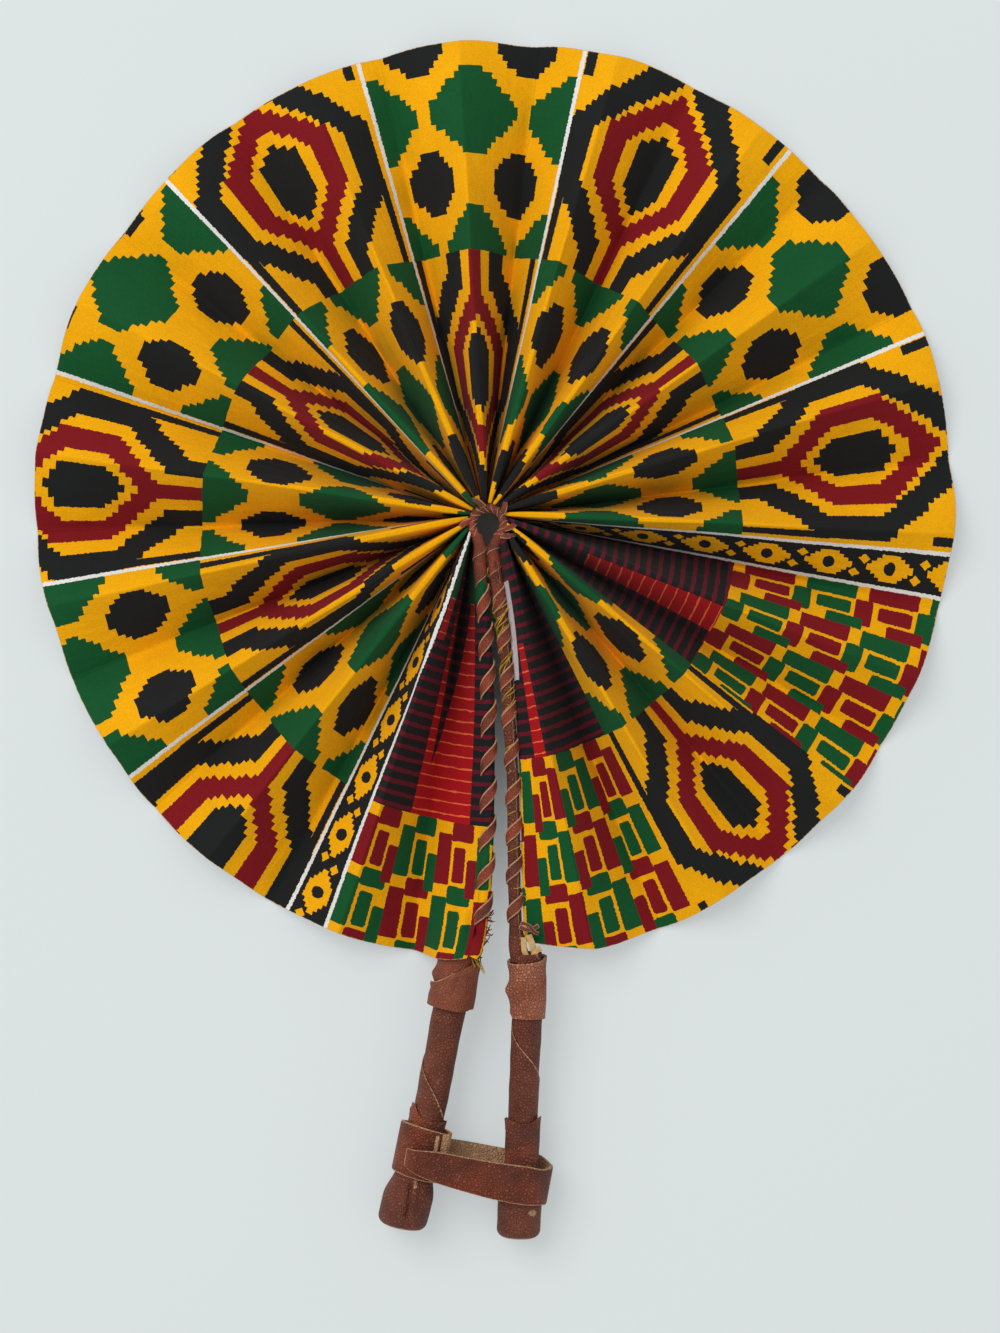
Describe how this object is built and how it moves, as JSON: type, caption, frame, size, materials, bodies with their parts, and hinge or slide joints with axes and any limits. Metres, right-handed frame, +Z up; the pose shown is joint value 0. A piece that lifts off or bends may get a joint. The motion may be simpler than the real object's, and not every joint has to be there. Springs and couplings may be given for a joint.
{
  "type": "folding fan",
  "caption": "Cockade folding fan with a pleated print-cloth leaf that opens to a full circle between two leather-bound stick handles, held by a leather strap.",
  "frame": {"origin": "middle of the open fan's footprint, on the table that it lies on", "axes": "+Z up out of the open leaf, along the hub's axis; handles point to -Y; +X to the right handle"},
  "size_m": [0.3652, 0.4758, 0.0328],
  "materials": {
    "cloth": "printed cotton, matt",
    "leather": "grained, satin",
    "dark_leather": "thong and second wrap, satin",
    "wood": "bare stick"
  },
  "bodies": {
    "left_stick": {"left_stick": "wood", "left_edge_binding": "leather", "left_edge_lacing": "dark_leather", "left_grip": "leather", "left_collar": "leather", "left_sleeve": "dark_leather", "left_end_cap": "leather", "hub_thong": "leather", "hub_whipping": "dark_leather"},
    "fold_01": {"leaf_panel_01": "cloth"},
    "fold_02": {"leaf_panel_02": "cloth"},
    "fold_03": {"leaf_panel_03": "cloth"},
    "fold_04": {"leaf_panel_04": "cloth"},
    "fold_05": {"leaf_panel_05": "cloth"},
    "fold_06": {"leaf_panel_06": "cloth"},
    "fold_07": {"leaf_panel_07": "cloth"},
    "fold_08": {"leaf_panel_08": "cloth"},
    "fold_09": {"leaf_panel_09": "cloth"},
    "fold_10": {"leaf_panel_10": "cloth"},
    "fold_11": {"leaf_panel_11": "cloth"},
    "fold_12": {"leaf_panel_12": "cloth"},
    "fold_13": {"leaf_panel_13": "cloth"},
    "fold_14": {"leaf_panel_14": "cloth"},
    "fold_15": {"leaf_panel_15": "cloth"},
    "fold_16": {"leaf_panel_16": "cloth"},
    "fold_17": {"leaf_panel_17": "cloth"},
    "fold_18": {"leaf_panel_18": "cloth"},
    "fold_19": {"leaf_panel_19": "cloth"},
    "fold_20": {"leaf_panel_20": "cloth"},
    "fold_21": {"leaf_panel_21": "cloth"},
    "fold_22": {"leaf_panel_22": "cloth"},
    "fold_23": {"leaf_panel_23": "cloth"},
    "fold_24": {"leaf_panel_24": "cloth"},
    "fold_25": {"leaf_panel_25": "cloth"},
    "fold_26": {"leaf_panel_26": "cloth"},
    "fold_27": {"leaf_panel_27": "cloth"},
    "fold_28": {"leaf_panel_28": "cloth"},
    "fold_29": {"leaf_panel_29": "cloth"},
    "fold_30": {"leaf_panel_30": "cloth"},
    "fold_31": {"leaf_panel_31": "cloth"},
    "fold_32": {"leaf_panel_32": "cloth"},
    "fold_33": {"leaf_panel_33": "cloth"},
    "fold_34": {"leaf_panel_34": "cloth"},
    "fold_35": {"leaf_panel_35": "cloth"},
    "fold_36": {"leaf_panel_36": "cloth"},
    "right_stick": {"right_stick": "wood", "right_edge_binding": "leather", "right_edge_lacing": "dark_leather", "right_grip": "leather", "right_collar": "leather", "right_sleeve": "dark_leather", "right_end_cap": "leather", "leaf_panel_37": "cloth"},
    "strap": {"closure_strap": "leather"}
  },
  "joints": [
    {"name": "pleat_01", "type": "hinge", "parent": "left_stick", "child": "fold_01", "pos_m": [-0.00363, 0.03784, 0.02641], "axis": [0, 0, 1], "range_deg": [0, 3.27], "deforming": ["leaf_panel_01"]},
    {"name": "pleat_02", "type": "hinge", "parent": "fold_01", "child": "fold_02", "pos_m": [-0.005, 0.03803, 0.02641], "axis": [-0.4357, 0.1028, 0.8942], "range_deg": [0, 11.18], "deforming": ["leaf_panel_02"]},
    {"name": "pleat_03", "type": "hinge", "parent": "fold_02", "child": "fold_03", "pos_m": [-0.00636, 0.03848, 0.02641], "axis": [0.4111, -0.1769, 0.8942], "range_deg": [0, 11.19], "deforming": ["leaf_panel_03"]},
    {"name": "pleat_04", "type": "hinge", "parent": "fold_03", "child": "fold_04", "pos_m": [-0.00762, 0.03915, 0.02641], "axis": [-0.3741, 0.2457, 0.8942], "range_deg": [0, 11.19], "deforming": ["leaf_panel_04"]},
    {"name": "pleat_05", "type": "hinge", "parent": "fold_04", "child": "fold_05", "pos_m": [-0.00875, 0.04004, 0.02641], "axis": [0.3259, -0.3071, 0.8942], "range_deg": [0, 11.18], "deforming": ["leaf_panel_05"]},
    {"name": "pleat_06", "type": "hinge", "parent": "fold_05", "child": "fold_06", "pos_m": [-0.0097, 0.0411, 0.02641], "axis": [-0.2678, 0.3592, 0.894], "range_deg": [0, 11.17], "deforming": ["leaf_panel_06"]},
    {"name": "pleat_07", "type": "hinge", "parent": "fold_06", "child": "fold_07", "pos_m": [-0.01046, 0.04232, 0.02641], "axis": [0.2015, -0.4005, 0.8938], "range_deg": [0, 11.17], "deforming": ["leaf_panel_07"]},
    {"name": "pleat_08", "type": "hinge", "parent": "fold_07", "child": "fold_08", "pos_m": [-0.01099, 0.04364, 0.02641], "axis": [-0.1292, 0.4299, 0.8936], "range_deg": [0, 11.15], "deforming": ["leaf_panel_08"]},
    {"name": "pleat_09", "type": "hinge", "parent": "fold_08", "child": "fold_09", "pos_m": [-0.01128, 0.04504, 0.02641], "axis": [0.053, -0.4463, 0.8933], "range_deg": [0, 11.14], "deforming": ["leaf_panel_09"]},
    {"name": "pleat_10", "type": "hinge", "parent": "fold_09", "child": "fold_10", "pos_m": [-0.01133, 0.04646, 0.02641], "axis": [0.025, 0.4495, 0.8929], "range_deg": [0, 11.12], "deforming": ["leaf_panel_10"]},
    {"name": "pleat_11", "type": "hinge", "parent": "fold_10", "child": "fold_11", "pos_m": [-0.01113, 0.04786, 0.02641], "axis": [-0.1023, -0.4392, 0.8925], "range_deg": [0, 11.1], "deforming": ["leaf_panel_11"]},
    {"name": "pleat_12", "type": "hinge", "parent": "fold_11", "child": "fold_12", "pos_m": [-0.01069, 0.04921, 0.02641], "axis": [0.1766, 0.4159, 0.8921], "range_deg": [0, 11.08], "deforming": ["leaf_panel_12"]},
    {"name": "pleat_13", "type": "hinge", "parent": "fold_12", "child": "fold_13", "pos_m": [-0.01003, 0.05046, 0.02641], "axis": [-0.2458, -0.3802, 0.8916], "range_deg": [0, 11.06], "deforming": ["leaf_panel_13"]},
    {"name": "pleat_14", "type": "hinge", "parent": "fold_13", "child": "fold_14", "pos_m": [-0.00917, 0.05158, 0.02641], "axis": [0.3079, 0.3332, 0.8911], "range_deg": [0, 11.03], "deforming": ["leaf_panel_14"]},
    {"name": "pleat_15", "type": "hinge", "parent": "fold_14", "child": "fold_15", "pos_m": [-0.00813, 0.05253, 0.02641], "axis": [-0.3611, -0.2764, 0.8906], "range_deg": [0, 11.01], "deforming": ["leaf_panel_15"]},
    {"name": "pleat_16", "type": "hinge", "parent": "fold_15", "child": "fold_16", "pos_m": [-0.00695, 0.05328, 0.02641], "axis": [0.4038, 0.2115, 0.8901], "range_deg": [0, 10.98], "deforming": ["leaf_panel_16"]},
    {"name": "pleat_17", "type": "hinge", "parent": "fold_16", "child": "fold_17", "pos_m": [-0.00566, 0.05382, 0.02641], "axis": [-0.4348, -0.1402, 0.8895], "range_deg": [0, 10.96], "deforming": ["leaf_panel_17"]},
    {"name": "pleat_18", "type": "hinge", "parent": "fold_17", "child": "fold_18", "pos_m": [-0.0043, 0.05414, 0.02641], "axis": [0.4534, 0.0648, 0.889], "range_deg": [0, 10.93], "deforming": ["leaf_panel_18"]},
    {"name": "pleat_19", "type": "hinge", "parent": "fold_18", "child": "fold_19", "pos_m": [-0.00292, 0.05422, 0.02641], "axis": [-0.4589, 0.0126, 0.8884], "range_deg": [0, 10.9], "deforming": ["leaf_panel_19"]},
    {"name": "pleat_20", "type": "hinge", "parent": "fold_19", "child": "fold_20", "pos_m": [-0.00154, 0.05406, 0.02641], "axis": [0.4513, -0.0898, 0.8878], "range_deg": [0, 10.88], "deforming": ["leaf_panel_20"]},
    {"name": "pleat_21", "type": "hinge", "parent": "fold_20", "child": "fold_21", "pos_m": [-0.00021, 0.05368, 0.02641], "axis": [-0.4309, 0.1645, 0.8873], "range_deg": [0, 10.85], "deforming": ["leaf_panel_21"]},
    {"name": "pleat_22", "type": "hinge", "parent": "fold_21", "child": "fold_22", "pos_m": [0.00103, 0.05308, 0.02641], "axis": [0.3982, -0.2348, 0.8867], "range_deg": [0, 10.83], "deforming": ["leaf_panel_22"]},
    {"name": "pleat_23", "type": "hinge", "parent": "fold_22", "child": "fold_23", "pos_m": [0.00215, 0.05229, 0.02641], "axis": [-0.3543, 0.2985, 0.8862], "range_deg": [0, 10.81], "deforming": ["leaf_panel_23"]},
    {"name": "pleat_24", "type": "hinge", "parent": "fold_23", "child": "fold_24", "pos_m": [0.00312, 0.05132, 0.02641], "axis": [0.3004, -0.354, 0.8857], "range_deg": [0, 10.78], "deforming": ["leaf_panel_24"]},
    {"name": "pleat_25", "type": "hinge", "parent": "fold_24", "child": "fold_25", "pos_m": [0.00391, 0.0502, 0.02641], "axis": [-0.238, 0.3997, 0.8852], "range_deg": [0, 10.76], "deforming": ["leaf_panel_25"]},
    {"name": "pleat_26", "type": "hinge", "parent": "fold_25", "child": "fold_26", "pos_m": [0.00451, 0.04898, 0.02641], "axis": [0.1689, -0.4344, 0.8848], "range_deg": [0, 10.74], "deforming": ["leaf_panel_26"]},
    {"name": "pleat_27", "type": "hinge", "parent": "fold_26", "child": "fold_27", "pos_m": [0.00489, 0.04768, 0.02641], "axis": [-0.0951, 0.4571, 0.8843], "range_deg": [0, 10.72], "deforming": ["leaf_panel_27"]},
    {"name": "pleat_28", "type": "hinge", "parent": "fold_27", "child": "fold_28", "pos_m": [0.00505, 0.04633, 0.02641], "axis": [0.0186, -0.4673, 0.8839], "range_deg": [0, 10.7], "deforming": ["leaf_panel_28"]},
    {"name": "pleat_29", "type": "hinge", "parent": "fold_28", "child": "fold_29", "pos_m": [0.00499, 0.04498, 0.02641], "axis": [0.0586, 0.4646, 0.8836], "range_deg": [0, 10.69], "deforming": ["leaf_panel_29"]},
    {"name": "pleat_30", "type": "hinge", "parent": "fold_29", "child": "fold_30", "pos_m": [0.00471, 0.04366, 0.02641], "axis": [-0.1342, -0.4493, 0.8832], "range_deg": [0, 10.67], "deforming": ["leaf_panel_30"]},
    {"name": "pleat_31", "type": "hinge", "parent": "fold_30", "child": "fold_31", "pos_m": [0.00422, 0.0424, 0.02641], "axis": [0.2062, 0.4218, 0.8829], "range_deg": [0, 10.66], "deforming": ["leaf_panel_31"]},
    {"name": "pleat_32", "type": "hinge", "parent": "fold_31", "child": "fold_32", "pos_m": [0.00352, 0.04125, 0.02641], "axis": [-0.2727, -0.3828, 0.8827], "range_deg": [0, 10.65], "deforming": ["leaf_panel_32"]},
    {"name": "pleat_33", "type": "hinge", "parent": "fold_32", "child": "fold_33", "pos_m": [0.00265, 0.04022, 0.02641], "axis": [0.3318, 0.3334, 0.8825], "range_deg": [0, 10.64], "deforming": ["leaf_panel_33"]},
    {"name": "pleat_34", "type": "hinge", "parent": "fold_33", "child": "fold_34", "pos_m": [0.00163, 0.03935, 0.02641], "axis": [-0.3821, -0.2749, 0.8823], "range_deg": [0, 10.63], "deforming": ["leaf_panel_34"]},
    {"name": "pleat_35", "type": "hinge", "parent": "fold_34", "child": "fold_35", "pos_m": [0.00048, 0.03866, 0.02641], "axis": [0.422, 0.2091, 0.8821], "range_deg": [0, 10.63], "deforming": ["leaf_panel_35"]},
    {"name": "pleat_36", "type": "hinge", "parent": "fold_35", "child": "fold_36", "pos_m": [-0.00077, 0.03817, 0.02641], "axis": [-0.4506, -0.1376, 0.882], "range_deg": [0, 10.62], "deforming": ["leaf_panel_36"]},
    {"name": "fan_fold", "type": "hinge", "parent": "fold_36", "child": "right_stick", "pos_m": [-0.00208, 0.03789, 0.02641], "axis": [0.5169, 0.0745, 0.8528], "range_deg": [0, 9.58], "deforming": ["leaf_panel_37", "hub_thong", "hub_whipping"]},
    {"name": "strap_slip", "type": "slide", "parent": "left_stick", "child": "strap", "axis": [-0.0366, -0.9982, -0.0477], "range_m": [0, 0.034], "deforming": ["closure_strap"]}
  ],
  "couplings": [
    {"joint": "pleat_01", "follows": "fan_fold", "ratio": 0.34156},
    {"joint": "pleat_02", "follows": "fan_fold", "ratio": 1.167},
    {"joint": "pleat_03", "follows": "fan_fold", "ratio": 1.1673},
    {"joint": "pleat_04", "follows": "fan_fold", "ratio": 1.1672},
    {"joint": "pleat_05", "follows": "fan_fold", "ratio": 1.1668},
    {"joint": "pleat_06", "follows": "fan_fold", "ratio": 1.1662},
    {"joint": "pleat_07", "follows": "fan_fold", "ratio": 1.1652},
    {"joint": "pleat_08", "follows": "fan_fold", "ratio": 1.1639},
    {"joint": "pleat_09", "follows": "fan_fold", "ratio": 1.1623},
    {"joint": "pleat_10", "follows": "fan_fold", "ratio": 1.1605},
    {"joint": "pleat_11", "follows": "fan_fold", "ratio": 1.1585},
    {"joint": "pleat_12", "follows": "fan_fold", "ratio": 1.1563},
    {"joint": "pleat_13", "follows": "fan_fold", "ratio": 1.1539},
    {"joint": "pleat_14", "follows": "fan_fold", "ratio": 1.1514},
    {"joint": "pleat_15", "follows": "fan_fold", "ratio": 1.1488},
    {"joint": "pleat_16", "follows": "fan_fold", "ratio": 1.1461},
    {"joint": "pleat_17", "follows": "fan_fold", "ratio": 1.1434},
    {"joint": "pleat_18", "follows": "fan_fold", "ratio": 1.1406},
    {"joint": "pleat_19", "follows": "fan_fold", "ratio": 1.1379},
    {"joint": "pleat_20", "follows": "fan_fold", "ratio": 1.1352},
    {"joint": "pleat_21", "follows": "fan_fold", "ratio": 1.1326},
    {"joint": "pleat_22", "follows": "fan_fold", "ratio": 1.13},
    {"joint": "pleat_23", "follows": "fan_fold", "ratio": 1.1276},
    {"joint": "pleat_24", "follows": "fan_fold", "ratio": 1.1252},
    {"joint": "pleat_25", "follows": "fan_fold", "ratio": 1.123},
    {"joint": "pleat_26", "follows": "fan_fold", "ratio": 1.1209},
    {"joint": "pleat_27", "follows": "fan_fold", "ratio": 1.1189},
    {"joint": "pleat_28", "follows": "fan_fold", "ratio": 1.1171},
    {"joint": "pleat_29", "follows": "fan_fold", "ratio": 1.1154},
    {"joint": "pleat_30", "follows": "fan_fold", "ratio": 1.114},
    {"joint": "pleat_31", "follows": "fan_fold", "ratio": 1.1126},
    {"joint": "pleat_32", "follows": "fan_fold", "ratio": 1.1115},
    {"joint": "pleat_33", "follows": "fan_fold", "ratio": 1.1105},
    {"joint": "pleat_34", "follows": "fan_fold", "ratio": 1.1097},
    {"joint": "pleat_35", "follows": "fan_fold", "ratio": 1.1091},
    {"joint": "pleat_36", "follows": "fan_fold", "ratio": 1.1087}
  ]
}
